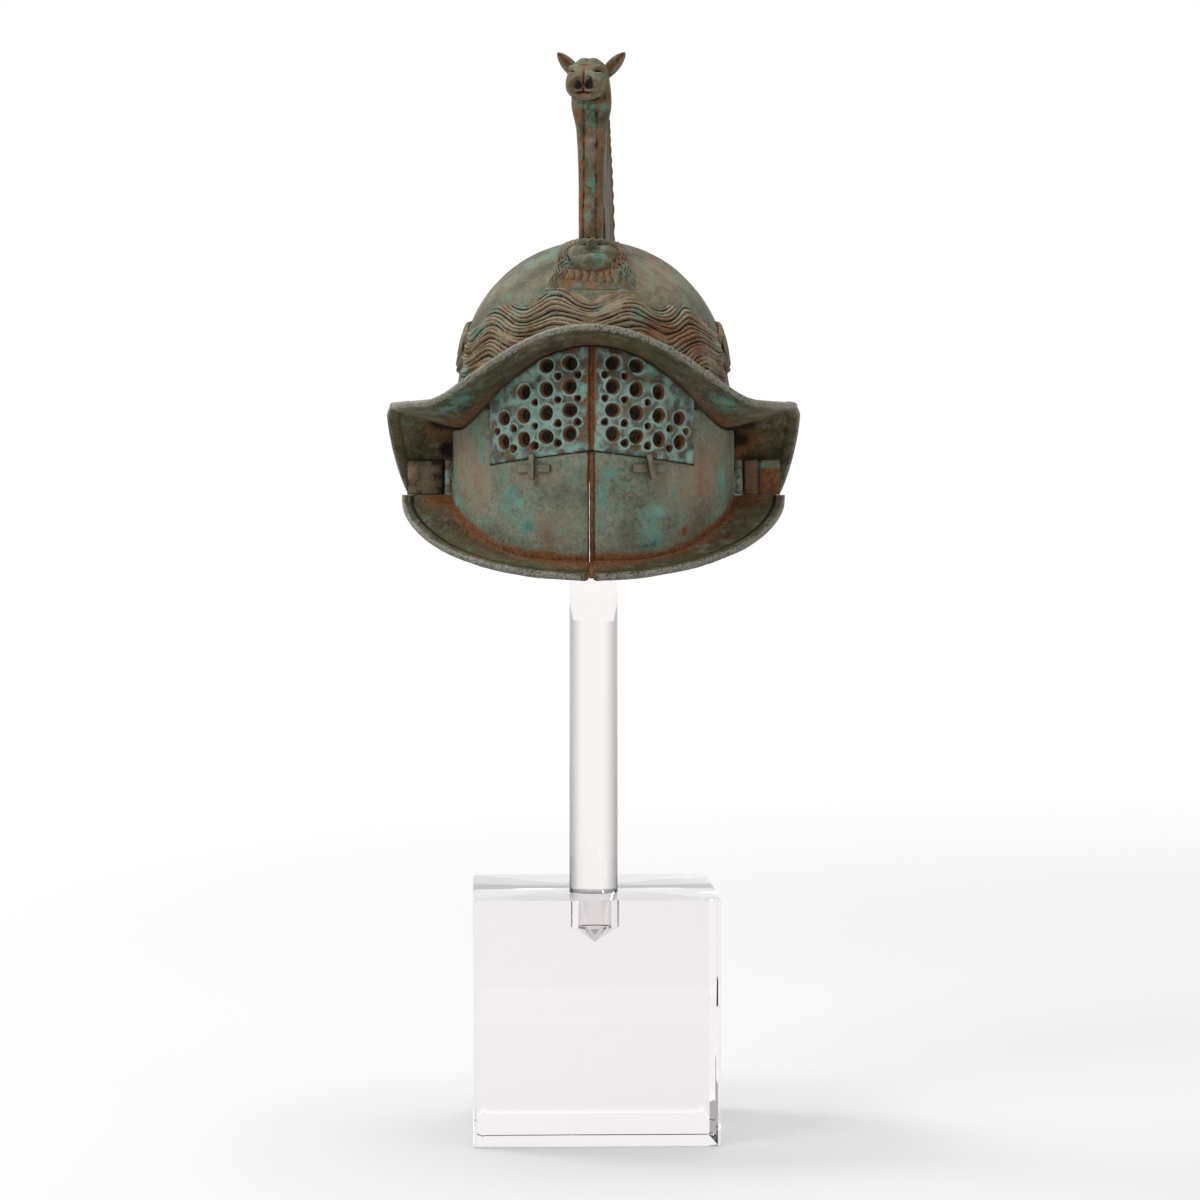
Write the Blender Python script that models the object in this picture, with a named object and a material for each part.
"""Small cast bronze gladiator helmet, with a two-leaf grilled visor and a horse-head crest, on a clear stand.

Sizes are in millimetres and angles in degrees. mesh_object turns the sizes into metres.
The frame: +Z up, origin at the middle of the block's underside, the face looks along -Y.
A plan angle runs round the helmet: 0 at the face, 90 at the viewer's right, 180 at the back of the neck.
"""
import math

import bmesh
import bpy
import numpy as np
from mathutils import Matrix
from mathutils.geometry import delaunay_2d_cdt

# Stand
BLOCK_SIDE = 100.0
BLOCK_HEIGHT = 100.0
BLOCK_BEVEL = 0.6
BLOCK_TURN = 2.6
ROD_DIAMETER = 20.0
SOCKET_DEPTH = 17.0
SOCKET_CLEARANCE = 0.3
DRILL_POINT_ANGLE = 118.0
ROD_SIDES = 32

# Heights of the helmet: the brow level is the rim of the brim at the sides
BROW_ABOVE_BLOCK = 201.0
CROWN_MIDDLE = 12.0
CROWN_RISE = 54.0
REAR_ROOT_DROP = 31.0
ROOT_DROP = 11.0
ROOT_ARCH = 32.5
RIM_ARCH = 30.0
NECK_RIM_DROP = 36.0
CHEEK_BOTTOM = -64.0
CHEEK_SIDE_RISE = 22.5
FLANGE_RIM_FRONT = -70.5
FLANGE_RIM_RISE = 31.5

# Plan sizes of the helmet
CROWN_HALF_WIDTH = 54.3
CROWN_HALF_LENGTH = 64.0
SKIRT_HALF_WIDTH = 58.0
SKIRT_REAR_LENGTH = 66.0
VISOR_DEPTH = 68.5
VISOR_HOLLOW = 0.28
BRIM_HALF_WIDTH = 85.4
BRIM_FRONT = 84.0
NECK_HALF_WIDTH = 78.8
NECK_REAR = 82.0
FLANGE_HALF_WIDTH = 79.0
FLANGE_FRONT = 83.0

# Plan angles where the arch ends and where the brim steps down
ROOT_ARCH_END = 70.0
RIM_ARCH_END = 54.0
ROOT_STEP_START = 91.0
ROOT_STEP_END = 100.0
RIM_STEP_START = 85.0
RIM_STEP_END = 100.0
LEAF_SIDE = 88.5

# Metal
WALL = 3.0
BRIM_WALL = 2.6
RIM_BEAD = 3.2
CORNER_ROUNDING = 1.4
BRIM_CURL = 1.1
FLANGE_CURL = 1.15
SEAT = 0.3
PLATE_GAP = 0.4
LEAF_CLEARANCE = 1.0
LEAF_TOP = -3.9
HALF_SEAM = 0.95

# Pierced plates, measured along the visor's surface from the seam
VISOR_ARC_RADIUS = 60.0
GRILLE_WIDTH = 46.9
GRILLE_FOOT = -20.3
GRILLE_FOOT_SLOPE = -0.12
LARGE_HOLE = 6.0
SMALL_HOLE = 3.3
HOLE_ROW_TOP = 14.4
HOLE_ROW_STEP = 9.4
HOLE_COLUMN_START = 8.8
HOLE_COLUMN_STEP = 9.9
HOLE_COLUMN_DROP = 1.05
HOLE_SIDES = 8
# first large row, and first small half row, in each column outwards from the seam
LARGE_FIRST_ROW = (0, 0, 1, 2)
LARGE_ROWS = 4
SMALL_FIRST_ROW = (0, 0, 1, 2, 2)

# Fittings
HINGE_PIN_DIAMETER = 3.0
HINGE_PIN_OUT = 59.9
HINGE_PIN_BACK = 0.3
HINGE_PLATE_TOP = -24.0
HINGE_PLATE_BOTTOM = -38.6
HINGE_PLATE_OUT = 77.0
HINGE_PLATE_DEPTH = 8.0
CATCH_OFFSET = 24.0
CATCH_HEIGHT = -27.5
CATCH_BAR = (14.4, 1.6, 3.2)
CATCH_PIN = (2.2, 1.5, 10.0)
CATCH_PIN_LIFT = 0.4
CATCH_PIN_RISE = 0.6
FLARE_SHARE = 0.2

# Raised work on the crown
HAIR_RELIEF = 1.5
HAIR_WAVE = 0.9
HAIR_SPREAD = 74.0
HAIR_TOP = 42.0
HAIR_TOP_DROP = 14.0
HAIR_CURLS = 9
HAIR_FOOT_SHARE = 0.03
ORNAMENT_HEIGHT = 22.0
ORNAMENT_WIDTH = 15.0
ORNAMENT_RELIEF = 2.4
ORNAMENT_ANGLE = 83.5
ORNAMENT_LEVEL = 22.0
MASK_WIDTH = 31.0
MASK_LENGTH = 30.0
MASK_LATITUDE = 57.0
MASK_RELIEF = 6.0
MASK_BASE = 2.4

# Crest
CREST_TURN = -5.0
CREST_LEAN = 0.4
CREST_WIDTH = 11.0
CREST_TOP_WIDTH = 8.4
CREST_SEAT = 0.6
CREST_HEIGHT = 76.0
CREST_BACK = 54.0
NECK_FRONT = -17.0
NECK_THICKNESS = 13.0
HEAD_WIDTH = 17.0
HEAD_LENGTH = 32.0
EAR_LENGTH = 10.5
EAR_SPREAD = 9.5

# Worked out from the sizes above
BROW = BLOCK_HEIGHT + BROW_ABOVE_BLOCK
CROWN_CENTRE = BROW + CROWN_MIDDLE
CROWN_TOP = CROWN_CENTRE + CROWN_RISE
SOCKET_FLOOR = BLOCK_HEIGHT - SOCKET_DEPTH
WALL_SHARE = WALL / (BRIM_HALF_WIDTH - SKIRT_HALF_WIDTH + WALL)

BRONZE = ((0.16, 0.17, 0.12), 0.62, 0.75)
VERDIGRIS = ((0.22, 0.38, 0.31), 0.75, 0.35)
RUSTY_BRONZE = ((0.30, 0.17, 0.08), 0.7, 0.5)
CLEAR = ((0.93, 0.95, 0.95), 0.04, 0.0)


def smooth_step(value, start, end):
    """0 below start, 1 above end, and an even S curve between."""
    share = np.clip((value - start) / (end - start), 0.0, 1.0)
    return share * share * (3.0 - 2.0 * share)


def arch(value, end):
    """A rounded hump: 1 at zero, falling to 0 at plus and minus end."""
    return np.clip(1.0 - (value / end) ** 2, 0.0, 1.0) ** 2


def plan_point(angle, half_width, depth, height):
    """Points on an oval seen from above, at plan angles in degrees."""
    turn = np.radians(angle)
    x = half_width * np.sin(turn)
    y = -depth * np.cos(turn)
    return np.stack(np.broadcast_arrays(x, y, height), axis=-1)


def root_height(angle):
    """Underside of the brim where it leaves the helmet."""
    step = smooth_step(np.abs(angle), ROOT_STEP_START, ROOT_STEP_END)
    drop = ROOT_DROP + (REAR_ROOT_DROP - ROOT_DROP) * step
    return BROW - drop + ROOT_ARCH * arch(angle, ROOT_ARCH_END)


def rim_height(angle):
    """Top of the brim's outer edge."""
    step = smooth_step(np.abs(angle), RIM_STEP_START, RIM_STEP_END)
    return BROW + RIM_ARCH * arch(angle, RIM_ARCH_END) - NECK_RIM_DROP * step


def skirt_depth(angle):
    """Depth of the helmet's wall at the brim, from the visor's top round to the nape."""
    front = VISOR_DEPTH * (1.0 - VISOR_HOLLOW * 0.53 ** 2)
    back = smooth_step(np.abs(angle), 80.0, 100.0)
    return front + (SKIRT_REAR_LENGTH - front) * back


def visor_point(along, height, out):
    """The visor's surface: along runs from the seam, out is measured outwards from the outer face."""
    angle = np.degrees(np.asarray(along) / VISOR_ARC_RADIUS)
    bottom = BROW + CHEEK_BOTTOM
    share = (height - bottom) / (BROW - ROOT_DROP + ROOT_ARCH - bottom)
    depth = VISOR_DEPTH * (1.0 - VISOR_HOLLOW * (share - 0.47) ** 2)
    return plan_point(angle, SKIRT_HALF_WIDTH + out, depth + out, height)


def crown_point(angle, latitude, out):
    """The crown's dome: latitude 0 at its widest level, 90 at the top."""
    rise = np.radians(latitude)
    level = np.cos(rise)
    height = CROWN_CENTRE + (CROWN_RISE + out) * np.sin(rise)
    return plan_point(angle, (CROWN_HALF_WIDTH + out) * level, (CROWN_HALF_LENGTH + out) * level, height)


def material(name, finish):
    """A plain finish: colour, roughness and metallic value."""
    colour, roughness, metallic = finish
    made = bpy.data.materials.new(name)
    made.use_nodes = True
    shader = made.node_tree.nodes["Principled BSDF"]
    shader.inputs["Base Color"].default_value = (*colour, 1.0)
    shader.inputs["Roughness"].default_value = roughness
    shader.inputs["Metallic"].default_value = metallic
    return made


def mesh_object(name, points, faces, finish, smooth_angle=40.0):
    """One closed solid as an object, its points given in millimetres."""
    mesh = bpy.data.meshes.new(name)
    mesh.from_pydata((np.asarray(points, dtype=float) * 0.001).tolist(), [], [list(face) for face in faces])
    work = bmesh.new()
    work.from_mesh(mesh)
    bmesh.ops.recalc_face_normals(work, faces=work.faces)
    work.to_mesh(mesh)
    work.free()
    mesh.shade_smooth()
    mesh.set_sharp_from_angle(angle=math.radians(smooth_angle))
    made = bpy.data.objects.new(name, mesh)
    made.data.materials.append(material(name, finish))
    bpy.context.scene.collection.objects.link(made)
    return made


def grid_faces(rows, columns, first=0):
    """Quads over a grid of points stored row by row."""
    faces = []
    for row in range(rows - 1):
        for column in range(columns - 1):
            a = first + row * columns + column
            b = a + columns
            faces.append((a, a + 1, b + 1, b))
    return faces


def ring_loft(name, sections, finish, closed_path, smooth_angle=40.0):
    """Joins closed outlines along a path into one solid, a ring or a bar with two end faces."""
    sections = np.asarray(sections)
    count, sides = sections.shape[:2]
    faces = []
    for row in range(count if closed_path else count - 1):
        for side in range(sides):
            a = row * sides + side
            b = row * sides + (side + 1) % sides
            c = (row + 1) % count * sides + (side + 1) % sides
            d = (row + 1) % count * sides + side
            faces.append((a, b, c, d))
    if not closed_path:
        faces.append(tuple(range(sides)))
        faces.append(tuple((count - 1) * sides + side for side in range(sides)))
    return mesh_object(name, sections.reshape(-1, 3), faces, finish, smooth_angle)


def slab(name, outer, inner, finish, smooth_angle=40.0):
    """A plate between two matching grids of points, closed round its four edges."""
    rows, columns = outer.shape[:2]
    inner_start = rows * columns
    faces = grid_faces(rows, columns) + grid_faces(rows, columns, inner_start)
    edge = [(0, column) for column in range(columns)]
    edge += [(row, columns - 1) for row in range(1, rows)]
    edge += [(rows - 1, column) for column in range(columns - 2, -1, -1)]
    edge += [(row, 0) for row in range(rows - 2, 0, -1)]
    flat = [row * columns + column for row, column in edge]
    for a, b in zip(flat, flat[1:] + flat[:1]):
        faces.append((a, b, inner_start + b, inner_start + a))
    points = np.concatenate([outer.reshape(-1, 3), inner.reshape(-1, 3)])
    return mesh_object(name, points, faces, finish, smooth_angle)


def curved_plate(name, outline, holes, inside, surface, finish):
    """A plate drawn flat and carried on to a surface, with its holes cut through.

    outline and holes are loops of (along, height). inside holds extra points that let the plate bend.
    surface gives the point for (along, height, out); the plate lies between out 0 and minus the wall.
    """
    loops = [list(outline)] + [list(hole) for hole in holes]
    flat = [point for loop in loops for point in loop]
    edges = []
    start = 0
    for loop in loops:
        count = len(loop)
        edges += [(start + i, start + (i + 1) % count) for i in range(count)]
        start += count
    flat += list(inside)
    made = delaunay_2d_cdt([tuple(map(float, point)) for point in flat], edges, [], 0, 1e-5)
    flat_points = np.array([tuple(point) for point in made[0]])
    triangles = [face for face in made[2] if in_plate(flat_points[list(face)].mean(axis=0), loops)]
    sides = {}
    for face in triangles:
        for a, b in zip(face, face[1:] + face[:1]):
            sides[(a, b)] = sides.get((a, b), 0) + 1
    border = [pair for pair in sides if (pair[1], pair[0]) not in sides]
    count = len(flat_points)
    faces = [tuple(face) for face in triangles]
    faces += [tuple(count + corner for corner in reversed(face)) for face in triangles]
    faces += [(b, a, count + a, count + b) for a, b in border]
    along, height = flat_points[:, 0], flat_points[:, 1]
    points = np.concatenate([surface(along, height, 0.0), surface(along, height, -WALL)])
    used = sorted({corner for face in faces for corner in face})
    renumber = {old: new for new, old in enumerate(used)}
    faces = [tuple(renumber[corner] for corner in face) for face in faces]
    return mesh_object(name, points[used], faces, finish, 30.0)


def in_loop(point, loop):
    """True if the point lies inside the loop, by counting crossings."""
    inside = False
    for (x1, y1), (x2, y2) in zip(loop, loop[1:] + loop[:1]):
        if (y1 > point[1]) != (y2 > point[1]):
            if point[0] < (x2 - x1) * (point[1] - y1) / (y2 - y1) + x1:
                inside = not inside
    return inside


def in_plate(point, loops):
    """True if the point lies inside the outline and outside every hole."""
    return in_loop(point, loops[0]) and not any(in_loop(point, hole) for hole in loops[1:])


def stand_block():
    """Clear block, turned a little on its rod, with a drilled hole for the rod."""
    bpy.ops.mesh.primitive_cube_add(size=1.0)
    block = bpy.context.object
    block.name = "stand_block"
    size = (BLOCK_SIDE, BLOCK_SIDE, BLOCK_HEIGHT)
    turn = Matrix.Rotation(math.radians(BLOCK_TURN), 4, "Z")
    place = turn @ Matrix.Translation((0.0, 0.0, BLOCK_HEIGHT * 0.0005))
    block.data.transform(place @ Matrix.Diagonal([side * 0.001 for side in size]).to_4x4())
    work = bmesh.new()
    work.from_mesh(block.data)
    bmesh.ops.bevel(work, geom=work.edges[:], offset=BLOCK_BEVEL * 0.001, segments=1, affect="EDGES")
    work.to_mesh(block.data)
    work.free()
    block.data.materials.append(material("stand_block", CLEAR))
    radius = ROD_DIAMETER / 2.0 + SOCKET_CLEARANCE
    tip = radius / math.tan(math.radians(DRILL_POINT_ANGLE / 2.0))
    turn_angles = np.arange(ROD_SIDES) * (360.0 / ROD_SIDES)
    rings = [(radius, BLOCK_HEIGHT + 5.0), (radius, SOCKET_FLOOR), (0.6, SOCKET_FLOOR - tip)]
    sections = [plan_point(turn_angles, r, r, height) for r, height in rings]
    drill = ring_loft("socket_drill", sections, CLEAR, closed_path=False)
    drill.hide_render = True
    drill.display_type = "WIRE"
    cut = block.modifiers.new("drilled hole", "BOOLEAN")
    cut.operation = "DIFFERENCE"
    cut.object = drill
    return block


def stand_rod():
    """Clear rod from the drilled hole up to the inside of the crown."""
    angles = np.arange(ROD_SIDES) * (360.0 / ROD_SIDES)
    radius = ROD_DIAMETER / 2.0
    # the dome falls away from its top, so the rod's edge meets the inside first
    level = math.sqrt(1.0 - (radius / (CROWN_HALF_WIDTH - WALL)) ** 2)
    top = CROWN_CENTRE + (CROWN_RISE - WALL) * level - SEAT
    rings = [(radius - 0.5, SOCKET_FLOOR + SEAT), (radius, SOCKET_FLOOR + SEAT + 0.5),
             (radius, top - 0.5), (radius - 0.5, top)]
    sections = [plan_point(angles, r, r, height) for r, height in rings]
    return ring_loft("stand_rod", sections, CLEAR, closed_path=False)


def ring_angles():
    """Plan angles round the brim and crown: close together at the steps, wider elsewhere."""
    half = np.concatenate([np.arange(0.0, 80.0, 5.0), [80.0], np.arange(84.0, 103.0, 1.5),
                           np.arange(108.0, 180.0, 8.0)])
    return np.concatenate([half, 360.0 - half[:0:-1]])


def signed(angle):
    """The same plan angle between -180 and 180."""
    return (np.asarray(angle) + 180.0) % 360.0 - 180.0


def bent_sheet(inner, outer, share, flat_share, curl):
    """Points between two edge lines: flat under the wall first, then curling up or down to the outer edge."""
    share = np.asarray(share, dtype=float)
    lift = np.clip((share - flat_share) / (1.0 - flat_share), 0.0, 1.0) ** curl
    point = inner + (outer - inner) * share[..., None]
    point[..., 2] = inner[..., 2] + (outer[..., 2] - inner[..., 2]) * lift
    return point


def brim_surface(angle, share):
    """Middle of the brim's sheet: share 0 at the wall's inner face, 1 at the outer edge."""
    angle = signed(angle)
    step = smooth_step(np.abs(angle), RIM_STEP_START, RIM_STEP_END)
    rear = smooth_step(np.abs(angle), 80.0, 110.0)
    inner_depth = skirt_depth(angle) - WALL
    corner = CORNER_ROUNDING * (1.0 - smooth_step(step, 0.0, 0.12))
    outer_width = BRIM_HALF_WIDTH + (NECK_HALF_WIDTH - BRIM_HALF_WIDTH) * step ** 1.7 - corner
    outer_depth = BRIM_FRONT + (NECK_REAR - BRIM_FRONT) * rear
    inner = plan_point(angle, SKIRT_HALF_WIDTH - WALL, inner_depth, root_height(angle) + BRIM_WALL / 2.0)
    outer = plan_point(angle, outer_width, outer_depth, rim_height(angle) - RIM_BEAD / 2.0)
    return bent_sheet(inner, outer, share, WALL_SHARE, BRIM_CURL)


def sheet_normals(surface, angle, share, step=0.01):
    """Unit normals of a sheet given by angle and share, pointing up or forwards."""
    by_angle = surface(angle + step, share) - surface(angle - step, share)
    by_share = surface(angle, share + step) - surface(angle, share - step)
    normal = np.cross(by_share, by_angle)
    return normal / np.linalg.norm(normal, axis=-1, keepdims=True)


BRIM_SHARES = (0.0, 0.1, 0.3, 0.5, 0.75, 0.93, 1.0)


def sheet_sections(surface, angles, shares, wall, bead):
    """Closed outlines across a bent sheet, with a thicker rounded edge at its outer end."""
    angle, share = np.meshgrid(angles, np.array(shares), indexing="ij")
    middle = surface(angle, share)
    normal = sheet_normals(surface, angle, share)
    half = np.where(share > 0.9, bead, wall)[..., None] / 2.0
    half = np.where(share[..., None] == 1.0, bead * 0.25, half)
    top = middle + normal * half
    under = middle - normal * half
    return np.concatenate([top, under[:, ::-1]], axis=1)


def brim():
    """Flared rim round the whole helmet, arched in front, stepped at the sides, a neck guard behind."""
    sections = sheet_sections(brim_surface, ring_angles(), BRIM_SHARES, BRIM_WALL, RIM_BEAD)
    return ring_loft("brim", sections, BRONZE, closed_path=True, smooth_angle=50.0)


def brim_face_height(angle, out):
    """Height, at plan angles, of a face of the brim's root: out is measured square to its middle."""
    samples = np.linspace(-180.0, 180.0, 1441)
    heights = []
    for share in (0.0, WALL_SHARE):
        middle = brim_surface(samples, np.full_like(samples, share))
        face = middle + sheet_normals(brim_surface, samples, np.full_like(samples, share)) * out
        widths = np.linalg.norm(middle[:, :2], axis=1) / np.linalg.norm(face[:, :2], axis=1)
        turned = samples + signed(np.degrees(
            np.arctan2(face[:, 0], -face[:, 1]) - np.arctan2(middle[:, 0], -middle[:, 1])) * widths)
        heights.append(np.interp(signed(angle), turned, face[:, 2]))
    return np.maximum(*heights) if out > 0.0 else np.minimum(*heights)


def crown_foot(angle):
    """Height of the crown's lower edge, seated on the brim's root."""
    return brim_face_height(angle, BRIM_WALL / 2.0 + SEAT)


def crown_skin(angle, share, out):
    """The crown's face from its foot (share 0) to its top (share 1): a dome, flared at the foot to the brim."""
    foot = crown_foot(angle)
    foot_latitude = np.degrees(np.arcsin(np.clip((foot - CROWN_CENTRE) / CROWN_RISE, 0.0, 0.9)))
    dome = crown_point(angle, foot_latitude + (90.0 - foot_latitude) * share, out)
    flared = plan_point(angle, SKIRT_HALF_WIDTH + out, skirt_depth(signed(angle)) + out, foot)
    flare = np.clip(1.0 - share / FLARE_SHARE, 0.0, 1.0) ** 2
    return dome + (flared - crown_point(angle, foot_latitude, out)) * flare[..., None]


def crown_share(angle, height):
    """Share up the crown's face at which it passes a height."""
    angle, height = np.broadcast_arrays(angle, height)
    shares = np.linspace(0.0, 1.0, 161)
    rises = crown_skin(angle[..., None], shares, 0.0)[..., 2].reshape(-1, shares.size)
    found = [np.interp(level, rise, shares) for level, rise in zip(height.ravel(), rises)]
    return np.array(found).reshape(angle.shape)


CROWN_SHARES = (0.0, 0.06, 0.13, 0.22, 0.36, 0.52, 0.68, 0.84)


def crown():
    """Hollow bowl of the helmet, its foot following the brim's arch and step."""
    angles = ring_angles()
    share, angle = np.meshgrid(np.array(CROWN_SHARES), angles, indexing="ij")
    outer = crown_skin(angle, share, 0.0)
    inner = crown_skin(angle, share, -WALL)
    rows, columns = outer.shape[:2]
    points = np.concatenate([outer.reshape(-1, 3), inner.reshape(-1, 3)])
    top = np.array([[0.0, 0.0, CROWN_TOP], [0.0, 0.0, CROWN_TOP - WALL]])
    inner_start = rows * columns
    faces = []
    for start, pole in ((0, 2 * inner_start), (inner_start, 2 * inner_start + 1)):
        for row in range(rows - 1):
            for column in range(columns):
                following = (column + 1) % columns
                a = start + row * columns
                faces.append((a + column, a + following, a + columns + following, a + columns + column))
        last = start + (rows - 1) * columns
        faces += [(last + column, last + (column + 1) % columns, pole) for column in range(columns)]
    for column in range(columns):
        following = (column + 1) % columns
        faces.append((column, following, inner_start + following, inner_start + column))
    return mesh_object("crown", np.concatenate([points, top]), faces, BRONZE)


def grille_foot(along):
    """Lower edge of an eye grille."""
    return BROW + GRILLE_FOOT + GRILLE_FOOT_SLOPE * np.asarray(along)


def visor_top(along, gap):
    """Upper edge of a visor plate, a gap below the brim's root."""
    return brim_face_height(np.degrees(np.asarray(along) / VISOR_ARC_RADIUS), -BRIM_WALL / 2.0 - gap)


def ring(centre, diameter, sides):
    """A round hole as a loop of points."""
    turn = (np.arange(sides) + 0.5) * 2.0 * math.pi / sides
    return [(centre[0] + diameter / 2.0 * math.cos(a), centre[1] + diameter / 2.0 * math.sin(a)) for a in turn]


def hole_centre(column, row):
    """Centre of a hole; whole numbers are large holes, halves the small holes between them."""
    along = HOLE_COLUMN_START + HOLE_COLUMN_STEP * column
    height = BROW + HOLE_ROW_TOP - HOLE_ROW_STEP * row - HOLE_COLUMN_DROP * max(column, 0.0)
    return along, height


def grille_holes():
    """Large holes in columns, with small holes between them and along the borders."""
    holes = []
    for column, first in enumerate(LARGE_FIRST_ROW):
        holes += [ring(hole_centre(column, row), LARGE_HOLE, HOLE_SIDES) for row in range(first, LARGE_ROWS)]
    for column, first in enumerate(SMALL_FIRST_ROW):
        last = LARGE_ROWS - 1 if column in (0, len(SMALL_FIRST_ROW) - 1) else LARGE_ROWS
        for row in range(first, last):
            # the first and last columns are squeezed against the borders
            shift = {0: 1.7, len(SMALL_FIRST_ROW) - 1: -1.6}.get(column, 0.0)
            along, height = hole_centre(column - 0.5, row + 0.5)
            lift = 1.6 if row == LARGE_ROWS - 1 else 0.0
            holes.append(ring((along + shift, height + lift), SMALL_HOLE, 6))
    return holes


def eye_grille(name, side):
    """Pierced plate in front of one eye. side is -1 for the viewer's left and 1 for the right."""
    top_along = np.linspace(GRILLE_WIDTH, HALF_SEAM, 8)
    outline = [(a, float(grille_foot(a))) for a in (HALF_SEAM, GRILLE_WIDTH / 2.0, GRILLE_WIDTH)]
    outline += [(float(a), float(visor_top(a, PLATE_GAP))) for a in top_along]
    return curved_plate(name, outline, grille_holes(), [],
                        lambda a, h, o: visor_point(side * a, h, o), VERDIGRIS)


def cheek_root(along):
    """Lower edge of a cheek plate, where the flange leaves it."""
    turn = np.asarray(along) / VISOR_ARC_RADIUS
    return BROW + CHEEK_BOTTOM + CHEEK_SIDE_RISE * np.abs(np.sin(turn)) ** 3.6


def leaf_top(along):
    """Upper edge of a cheek plate beside the grille, cut level where it would swing into the brim."""
    return np.minimum(visor_top(along, LEAF_CLEARANCE), BROW + LEAF_TOP)


def cheek_plate(name, side):
    """Lower plate of one visor leaf: below the grille in front, up to the brim beside it."""
    side_edge = math.radians(LEAF_SIDE) * VISOR_ARC_RADIUS
    beside = GRILLE_WIDTH + PLATE_GAP
    outline = [(a, float(cheek_root(a)) + PLATE_GAP) for a in np.linspace(HALF_SEAM, side_edge, 13)]
    outline += [(side_edge, float(cheek_root(side_edge)) + share * 31.0) for share in (0.33, 0.66)]
    outline += [(a, float(leaf_top(a))) for a in np.linspace(side_edge, beside, 7)]
    outline += [(a, float(grille_foot(a)) - PLATE_GAP) for a in np.linspace(beside, HALF_SEAM, 6)]
    inside = []
    for along in np.arange(7.5, side_edge - 3.0, 7.5):
        top = float(leaf_top(along)) if along > beside else float(grille_foot(along))
        levels = np.arange(float(cheek_root(along)) + 9.0, top - 5.0, 11.0)
        inside += [(along, level) for level in levels if abs(along - beside) > 2.0]
    return curved_plate(name, outline, [], inside, lambda a, h, o: visor_point(side * a, h, o), BRONZE)


def flange_surface(angle, share):
    """Middle of the lower flange: share 0 at the visor's inner face, 1 at the outer edge."""
    along = np.radians(angle) * VISOR_ARC_RADIUS
    root = cheek_root(along)
    inner = visor_point(along, root, -WALL)
    inner[..., 2] = root - BRIM_WALL / 2.0
    rim = BROW + FLANGE_RIM_FRONT + FLANGE_RIM_RISE * (1.0 - np.cos(np.radians(angle)))
    outer = plan_point(angle, FLANGE_HALF_WIDTH, FLANGE_FRONT, rim)
    return bent_sheet(inner, outer, share, WALL / (FLANGE_HALF_WIDTH - SKIRT_HALF_WIDTH + WALL), FLANGE_CURL)


FLANGE_SHARES = (0.0, 0.13, 0.4, 0.7, 0.92, 1.0)


def lower_flange(name, side):
    """Flared rim under one cheek plate, from the seam round to the hinge."""
    seam = math.degrees(HALF_SEAM / (VISOR_ARC_RADIUS + WALL))
    angles = side * np.concatenate([[seam], np.linspace(6.0, LEAF_SIDE, 15)])
    sections = sheet_sections(flange_surface, angles, FLANGE_SHARES, BRIM_WALL, RIM_BEAD)
    # both sides of the seam keep the same gap all the way out to the rim
    sections[0, :, 0] = side * HALF_SEAM
    return ring_loft(name, sections, BRONZE, closed_path=False, smooth_angle=50.0)


def hinge_pin(name, side):
    """Upright pin in the corner between the brim's step and the visor leaf."""
    turn = np.arange(12) * 30.0
    radius = HINGE_PIN_DIAMETER / 2.0
    sections = []
    for height in (HINGE_PLATE_BOTTOM, HINGE_PLATE_TOP):
        loop = plan_point(turn, radius, radius, BROW + height)
        sections.append(loop + np.array([side * HINGE_PIN_OUT, HINGE_PIN_BACK, 0.0]))
    return ring_loft(name, sections, VERDIGRIS, closed_path=False)


def step_front(x, height):
    """How far back the front of the brim's step lies, at a distance out and a height."""
    angles = np.linspace(ROOT_STEP_START - 6.0, RIM_STEP_END + 4.0, 300)
    lines = []
    for share in np.linspace(0.0, 1.0, 15):
        shares = np.full_like(angles, share)
        middle = brim_surface(angles, shares)
        face = middle - sheet_normals(brim_surface, angles, shares) * (BRIM_WALL / 2.0 + SEAT)
        order = np.maximum.accumulate(-face[:, 2])
        lines.append((np.interp(-height, order, face[:, 0]), np.interp(-height, order, face[:, 1])))
    outs, backs = np.array(lines).T
    return float(np.interp(x, outs, backs))


def hinge_plate(name, side):
    """Rectangular plate seated on the front of the brim's step, beside the hinge pin."""
    across = np.linspace(HINGE_PIN_OUT + HINGE_PIN_DIAMETER / 2.0 + SEAT, HINGE_PLATE_OUT, 6)
    heights = BROW + np.linspace(HINGE_PLATE_BOTTOM, HINGE_PLATE_TOP, 7)
    z, x = np.meshgrid(heights, across, indexing="ij")
    back = np.array([[step_front(out, height) for out in across] for height in heights]) - SEAT
    front = np.full_like(back, HINGE_PIN_BACK - HINGE_PIN_DIAMETER / 4.0)
    back = np.minimum(back, front + HINGE_PLATE_DEPTH)
    outer_face = np.stack([side * x, front, z], axis=-1)
    inner_face = np.stack([side * x, back, z], axis=-1)
    return slab(name, outer_face, inner_face, RUSTY_BRONZE, 30.0)


def catch_block(name, side, size, lift, height):
    """Small bar lying on the visor's face at the catch."""
    along = CATCH_OFFSET + np.array([-0.5, -0.17, 0.17, 0.5]) * size[0]
    heights = BROW + height + np.array([-0.5, 0.5]) * size[2]
    a, h = np.meshgrid(side * along, heights, indexing="xy")
    outer = visor_point(a, h, lift + size[1])
    inner = visor_point(a, h, lift)
    return slab(name, outer, inner, BRONZE, 30.0)


def raised_patch(name, point, relief, rows, columns, finish):
    """A raised patch over the crown. point gives (u, v, out) with u and v from -1 to 1."""
    v, u = np.meshgrid(np.linspace(-1.0, 1.0, rows), np.linspace(-1.0, 1.0, columns), indexing="ij")
    outer = point(u, v, SEAT + relief(u, v))
    inner = point(u, v, np.full_like(u, SEAT))
    return slab(name, outer, inner, finish, 60.0)


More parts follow.
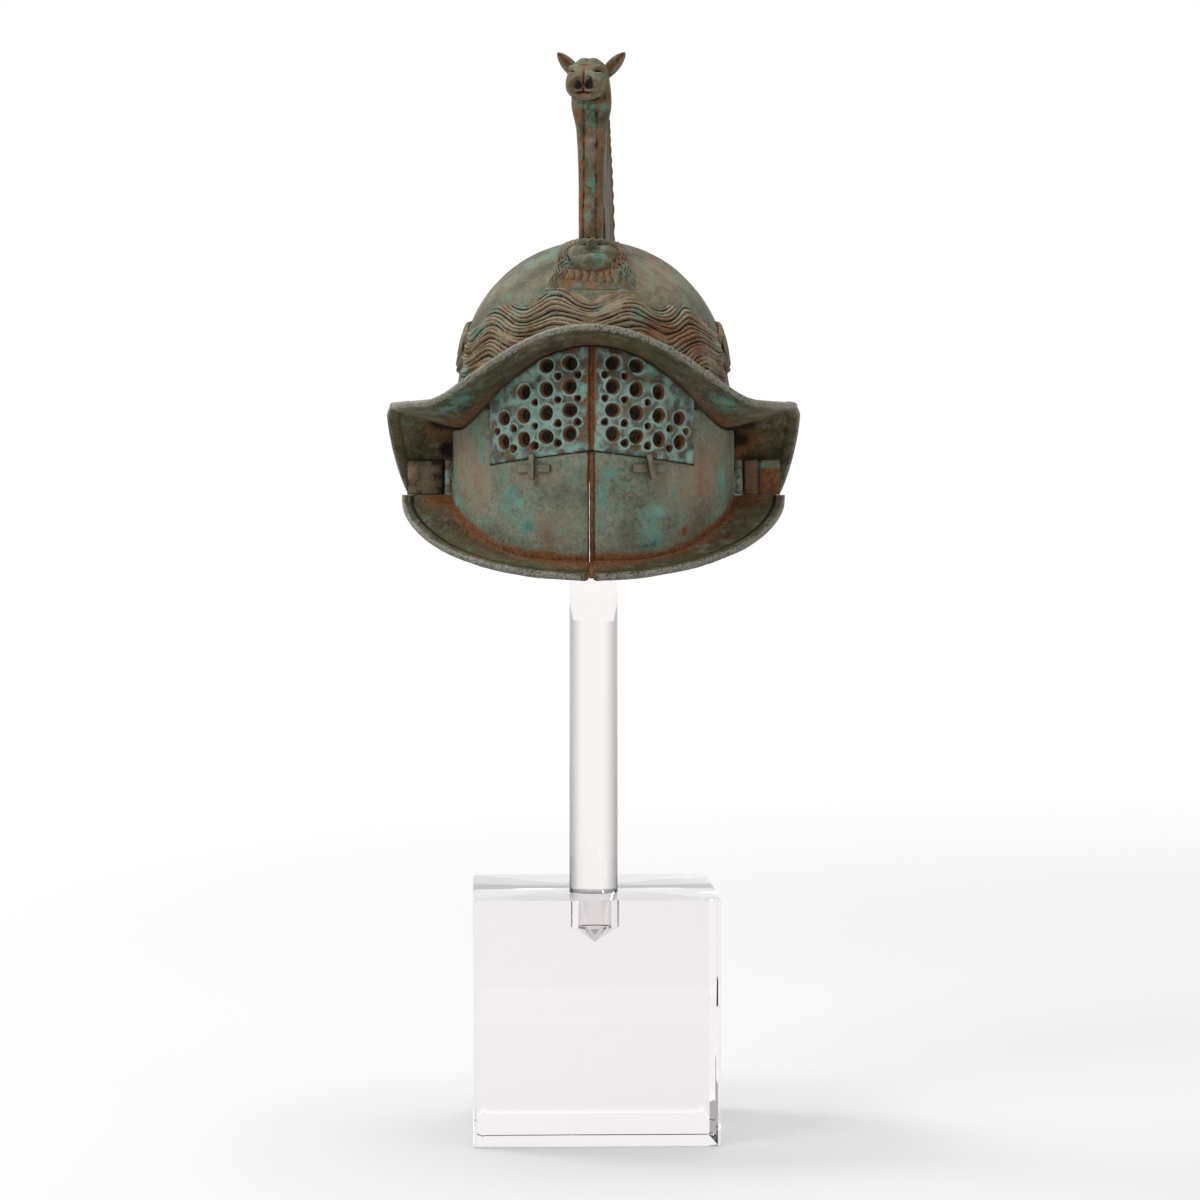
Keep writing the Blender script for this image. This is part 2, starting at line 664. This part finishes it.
def hair_band():
    """Wavy hair across the brow, from temple to temple, thin at its edges."""
    def point(u, v, out):
        angle = HAIR_SPREAD * u
        top = BROW + HAIR_TOP - HAIR_TOP_DROP * u * u
        top_share = crown_share(angle, top)
        share = HAIR_FOOT_SHARE + (top_share - HAIR_FOOT_SHARE) * (v + 1.0) / 2.0
        return crown_skin(angle, share, out)

    def relief(u, v):
        wave = np.sin(u * HAIR_CURLS * math.pi + 2.2 * v) * HAIR_WAVE
        edge = 1.0 - 0.55 * np.abs(v) ** 4
        return (HAIR_RELIEF + HAIR_WAVE + wave) * edge

    return raised_patch("hair_band", point, relief, 6, 55, RUSTY_BRONZE)


def temple_ornament(name, side):
    """Raised scroll at one temple."""
    def point(u, v, out):
        angle = side * (ORNAMENT_ANGLE + math.degrees(ORNAMENT_WIDTH / 2.0 / CROWN_HALF_LENGTH) * u)
        height = BROW + ORNAMENT_LEVEL + ORNAMENT_HEIGHT / 2.0 * v * (1.0 - 0.35 * u * u)
        return crown_skin(angle, crown_share(angle, height), out)

    def relief(u, v):
        bulge = np.clip(1.0 - 0.6 * (u * u + v * v), 0.0, 1.0)
        return ORNAMENT_RELIEF * (0.35 + 0.65 * bulge)

    return raised_patch(name, point, relief, 7, 6, RUSTY_BRONZE)


def oval(u, v, centre, size):
    """A smooth hump of height 1 over an oval."""
    reach = ((u - centre[0]) / size[0]) ** 2 + ((v - centre[1]) / size[1]) ** 2
    return np.clip(1.0 - reach, 0.0, 1.0)


def mask_relief(u, v):
    """Height of the small face and its hair: head, hair roll, brow, nose, cheeks, mouth, chin."""
    head = MASK_RELIEF * 0.62 * np.sqrt(oval(u, v, (0.0, -0.05), (0.66, 0.95)))
    from_roll = np.hypot(u / 0.78, (v - 0.05) / 0.92) - 0.9
    hair = MASK_RELIEF * 0.30 * np.exp(-(from_roll / 0.16) ** 2) * (v > -0.55)
    nose = MASK_RELIEF * 0.26 * np.sqrt(oval(u, v, (0.0, 0.02), (0.12, 0.28)))
    cheeks = MASK_RELIEF * 0.12 * (oval(u, v, (0.3, -0.1), (0.24, 0.3)) + oval(u, v, (-0.3, -0.1), (0.24, 0.3)))
    chin = MASK_RELIEF * 0.14 * oval(u, v, (0.0, -0.68), (0.24, 0.2))
    return MASK_BASE + head + hair + nose + cheeks + chin


def crest_mask():
    """Small face with hair and collar, lying on the front slope of the crown."""
    def point(u, v, out):
        along = MASK_WIDTH / 2.0 * u * (1.0 - 0.16 * v * v)
        slope = MASK_LATITUDE + math.degrees(MASK_LENGTH / 2.0 / CROWN_HALF_LENGTH) * v
        level = CROWN_HALF_WIDTH * np.cos(np.radians(slope))
        angle = np.degrees(np.arctan2(along, level))
        return crown_point(angle, slope, out)

    return raised_patch("crest_mask", point, mask_relief, 18, 17, VERDIGRIS)


def crest_place():
    """Turn and lean of the crest about the top of the crown."""
    pivot = Matrix.Translation((0.0, 0.0, CROWN_TOP * 0.001))
    turn = Matrix.Rotation(math.radians(CREST_TURN), 4, "Z")
    lean = Matrix.Rotation(math.radians(CREST_LEAN), 4, "Y")
    return pivot @ turn @ lean @ pivot.inverted()


def dome_height(back):
    """Height of the crown's outer face along its middle line."""
    return CROWN_CENTRE + CROWN_RISE * np.sqrt(np.clip(1.0 - (back / CROWN_HALF_LENGTH) ** 2, 0.0, 1.0))


# side view of the fin, as shares: distance back along the fin, height of its top
FIN_OUTLINE = (
    (0.00, 0.80),
    (0.10, 0.86),
    (0.22, 0.87),
    (0.38, 0.79),
    (0.55, 0.63),
    (0.72, 0.42),
    (0.87, 0.17),
    (1.00, -0.14),
)


def crest_plate():
    """High fin behind the neck of the horse, falling to the back of the crown."""
    front = NECK_FRONT + NECK_THICKNESS + CREST_SEAT
    backs = np.linspace(front, CREST_BACK, 13)
    shares = (backs - front) / (backs[-1] - front)
    table = np.array(FIN_OUTLINE)
    tops = CROWN_TOP + CREST_HEIGHT * np.interp(shares, table[:, 0], table[:, 1])
    slopes = np.gradient(dome_height(backs), backs)
    feet = dome_height(backs) + CREST_SEAT * np.sqrt(1.0 + slopes * slopes)
    tops = np.maximum(tops, feet + 4.0)
    sections = []
    for back, foot, top in zip(backs, feet, tops):
        low, high = CREST_WIDTH / 2.0, CREST_TOP_WIDTH / 2.0
        rise = top - foot
        outline = [(-low, 0.0), (low, 0.0), (low, 0.12 * rise), (high, 0.6 * rise), (high, rise - 1.2),
                   (high - 1.4, rise), (1.4 - high, rise), (-high, rise - 1.2), (-high, 0.6 * rise),
                   (-low, 0.12 * rise)]
        sections.append([(x, back, foot + z) for x, z in outline])
    made = ring_loft("crest_plate", sections, BRONZE, closed_path=False)
    made.data.transform(crest_place())
    return made


# neck and head of the horse, as shares: distance forward, height up the crest, half width, half thickness
HEAD_STATIONS = (
    (0.00, 0.00, 0.29, 0.50),
    (0.00, 0.25, 0.30, 0.46),
    (0.01, 0.45, 0.32, 0.42),
    (0.02, 0.60, 0.36, 0.42),
    (0.04, 0.71, 0.50, 0.52),
    (0.12, 0.82, 0.46, 0.64),
    (0.32, 0.86, 0.45, 0.62),
    (0.54, 0.85, 0.45, 0.56),
    (0.76, 0.82, 0.46, 0.52),
    (0.92, 0.79, 0.46, 0.48),
    (1.00, 0.78, 0.38, 0.40),
)


def head_sections(sides=12):
    """Oval outlines across the neck and head, square to the line through their middles."""
    table = np.array(HEAD_STATIONS)
    middle = NECK_FRONT + NECK_THICKNESS / 2.0
    foot = float(dome_height(NECK_FRONT + NECK_THICKNESS)) + CREST_SEAT
    path = np.stack([np.zeros(len(table)), middle - HEAD_LENGTH * table[:, 0],
                     foot + (CROWN_TOP + CREST_HEIGHT - foot) * table[:, 1]], axis=-1)
    ahead = np.gradient(path, axis=0)
    ahead /= np.linalg.norm(ahead, axis=1, keepdims=True)
    ahead[0] = (0.0, 0.0, 1.0)
    across = np.array([1.0, 0.0, 0.0])
    turn = np.arange(sides) * 2.0 * math.pi / sides
    sections = []
    for centre, along, (_, _, wide, thick) in zip(path, ahead, table):
        out = np.cross(along, across)
        ring_points = centre + np.outer(np.cos(turn) * wide * HEAD_WIDTH, across)
        sections.append(ring_points + np.outer(np.sin(turn) * thick * NECK_THICKNESS * 0.98, out))
    return sections


def crest_head():
    """Neck and head of the horse, rising from the front of the crown, with two ears."""
    sections = head_sections()
    head = ring_loft("crest_head", sections, BRONZE, closed_path=False)
    for side in (-1.0, 1.0):
        foot = np.mean(sections[5], axis=0) + np.array([side * EAR_SPREAD * 0.45, 0.0, HEAD_WIDTH * 0.2])
        tip = foot + np.array([side * EAR_SPREAD, 1.0, EAR_LENGTH])
        angles = np.arange(8) * 45.0
        loops = []
        for share, radius in ((0.0, 2.6), (0.45, 2.3), (1.0, 0.5)):
            loops.append(plan_point(angles, radius, radius * 0.7, 0.0) + foot + (tip - foot) * share)
        ear = ring_loft("crest_ear", loops, BRONZE, closed_path=False)
        ear.hide_render = True
        ear.display_type = "WIRE"
        join = head.modifiers.new("ear", "BOOLEAN")
        join.operation = "UNION"
        join.object = ear
        ear.data.transform(crest_place())
    head.data.transform(crest_place())
    return head


def hang_on_hinge(pieces, side, name):
    """Parents the pieces of one visor leaf to an empty on its hinge axis."""
    axis = bpy.data.objects.new(name, None)
    axis.location = (side * HINGE_PIN_OUT * 0.001, HINGE_PIN_BACK * 0.001, BROW * 0.001)
    bpy.context.scene.collection.objects.link(axis)
    for piece in pieces:
        piece.parent = axis
        piece.matrix_parent_inverse = Matrix.Translation(axis.location).inverted()


def visor_leaf(word, side):
    """One half of the visor: cheek plate, its flange and its catch, turning on the hinge pin."""
    pieces = [
        cheek_plate("cheek_plate_" + word, side),
        lower_flange("lower_flange_" + word, side),
        catch_block("catch_bar_" + word, side, CATCH_BAR, SEAT, CATCH_HEIGHT),
        catch_block("catch_pin_" + word, side, CATCH_PIN, SEAT + CATCH_BAR[1] + CATCH_PIN_LIFT,
                    CATCH_HEIGHT + CATCH_PIN_RISE),
    ]
    hang_on_hinge(pieces, side, "leaf_axis_" + word)


def build():
    """Clears the scene and makes the helmet on its stand."""
    for old in list(bpy.data.objects):
        bpy.data.objects.remove(old)
    stand_block()
    stand_rod()
    crown()
    brim()
    hair_band()
    crest_mask()
    crest_plate()
    crest_head()
    for word, side in (("left", -1.0), ("right", 1.0)):
        temple_ornament("temple_ornament_" + word, side)
        eye_grille("eye_grille_" + word, side)
        hinge_plate("hinge_plate_" + word, side)
        hinge_pin("hinge_pin_" + word, side)
        visor_leaf(word, side)


build()
